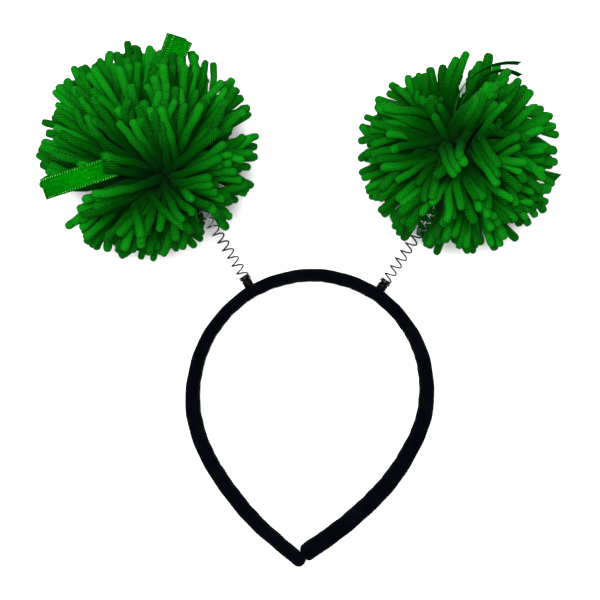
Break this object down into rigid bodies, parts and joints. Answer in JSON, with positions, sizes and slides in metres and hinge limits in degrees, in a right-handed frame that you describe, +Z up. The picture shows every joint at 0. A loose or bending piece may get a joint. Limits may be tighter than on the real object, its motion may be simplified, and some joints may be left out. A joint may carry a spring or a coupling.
{
  "type": "pompom headband",
  "caption": "Novelty headband: a padded velvet band bent to a teardrop, with tied yarn pompoms and ribbon tails on coil springs that stand on pegs at its crown.",
  "frame": {"origin": "under the middle of the whole object's box, on the surface that the headband lies on", "axes": "+Z up out of that surface, +Y from the band's tips towards its crown and the pompoms, +X to the right as seen from above"},
  "size_m": [0.2476, 0.2592, 0.0958],
  "materials": {
    "velvet": "short black pile over foam padding",
    "peg": "moulded, matte black",
    "spring_steel": "bright drawn wire",
    "yarn": "thick plied green acrylic yarn",
    "satin_ribbon": "green satin with woven edges"
  },
  "bodies": {
    "root": {"band": "velvet", "peg_left": "peg", "peg_right": "peg", "spring_left": "spring_steel", "spring_right": "spring_steel", "pompom_left": "yarn", "pompom_right": "yarn", "ribbon_left": "satin_ribbon", "ribbon_right": "satin_ribbon"}
  },
  "joints": []
}
